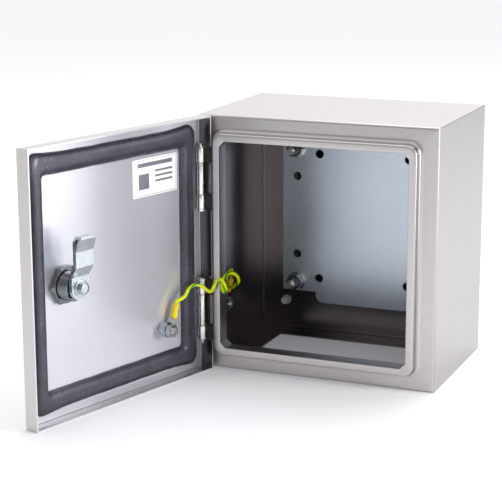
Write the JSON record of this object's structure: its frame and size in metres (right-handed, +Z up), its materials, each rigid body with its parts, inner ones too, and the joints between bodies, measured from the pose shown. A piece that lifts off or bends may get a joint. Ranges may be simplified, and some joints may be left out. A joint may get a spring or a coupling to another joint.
{
  "type": "wall-mounted switchboard cabinet",
  "caption": "Small rectangular stainless steel electrical cabinet with a hinged tray door, foamed seal, cam lock, mounting plate on studs and a coiled earth lead between body and door.",
  "frame": {"origin": "centre of the back panel's outer face", "axes": "+X to the right seen from the front, +Y into the wall, +Z up"},
  "size_m": [0.2535, 0.3329, 0.21],
  "materials": {
    "stainless": "brushed",
    "galvanised": "galvanised, satin",
    "hinge_steel": "polished",
    "fastener_zinc": "bright zinc plated",
    "tinned_copper": "tinned",
    "lock_zinc": "die cast, bright",
    "cam_steel": "bright zinc plated",
    "nylon": "white, satin",
    "seal_foam": "foamed polyurethane, satin skin",
    "lock_rubber": "matte",
    "label_film": "printed film",
    "sleeve_pvc": "satin",
    "lead_pvc": "yellow with a green stripe"
  },
  "bodies": {
    "cabinet": {"body_shell": "stainless", "front_frame": "stainless", "mounting_plate": "galvanised", "plate_studs": "fastener_zinc", "plate_spacers": "fastener_zinc", "plate_washers": "fastener_zinc", "plate_nuts": "fastener_zinc", "wall_plugs": "nylon", "hinge_lugs_upper": "hinge_steel", "hinge_lugs_lower": "hinge_steel", "hinge_pin_upper": "hinge_steel", "hinge_pin_lower": "hinge_steel", "body_earth_stud": "fastener_zinc", "body_earth_washers": "fastener_zinc", "body_earth_nut": "fastener_zinc", "body_earth_terminal": "tinned_copper", "body_earth_sleeve": "sleeve_pvc", "earth_lead": "lead_pvc"},
    "door": {"door_panel": "stainless", "door_seal": "seal_foam", "door_label": "label_film", "hinge_barrel_upper": "hinge_steel", "hinge_barrel_lower": "hinge_steel", "door_earth_stud": "fastener_zinc", "door_earth_washers": "fastener_zinc", "door_earth_nuts": "fastener_zinc", "door_earth_terminal": "tinned_copper", "door_earth_sleeve": "sleeve_pvc", "lock_housing": "lock_zinc", "lock_seal": "lock_rubber", "lock_nut": "lock_zinc"},
    "lock_cam_turner": {"lock_core": "lock_zinc", "lock_cam": "cam_steel", "cam_washer": "fastener_zinc", "cam_bolt": "fastener_zinc"}
  },
  "joints": [
    {"name": "door_hinge", "type": "hinge", "parent": "cabinet", "child": "door", "pos_m": [-0.0946, -0.144, 0], "axis": [0, 0, -1], "range_deg": [-106, 19], "deforming": ["earth_lead"]},
    {"name": "cam_turn", "type": "hinge", "parent": "door", "child": "lock_cam_turner", "pos_m": [-0.14229, -0.28855, -0.003], "axis": [0.9613, -0.2756, 0], "range_deg": [0, 90]}
  ]
}
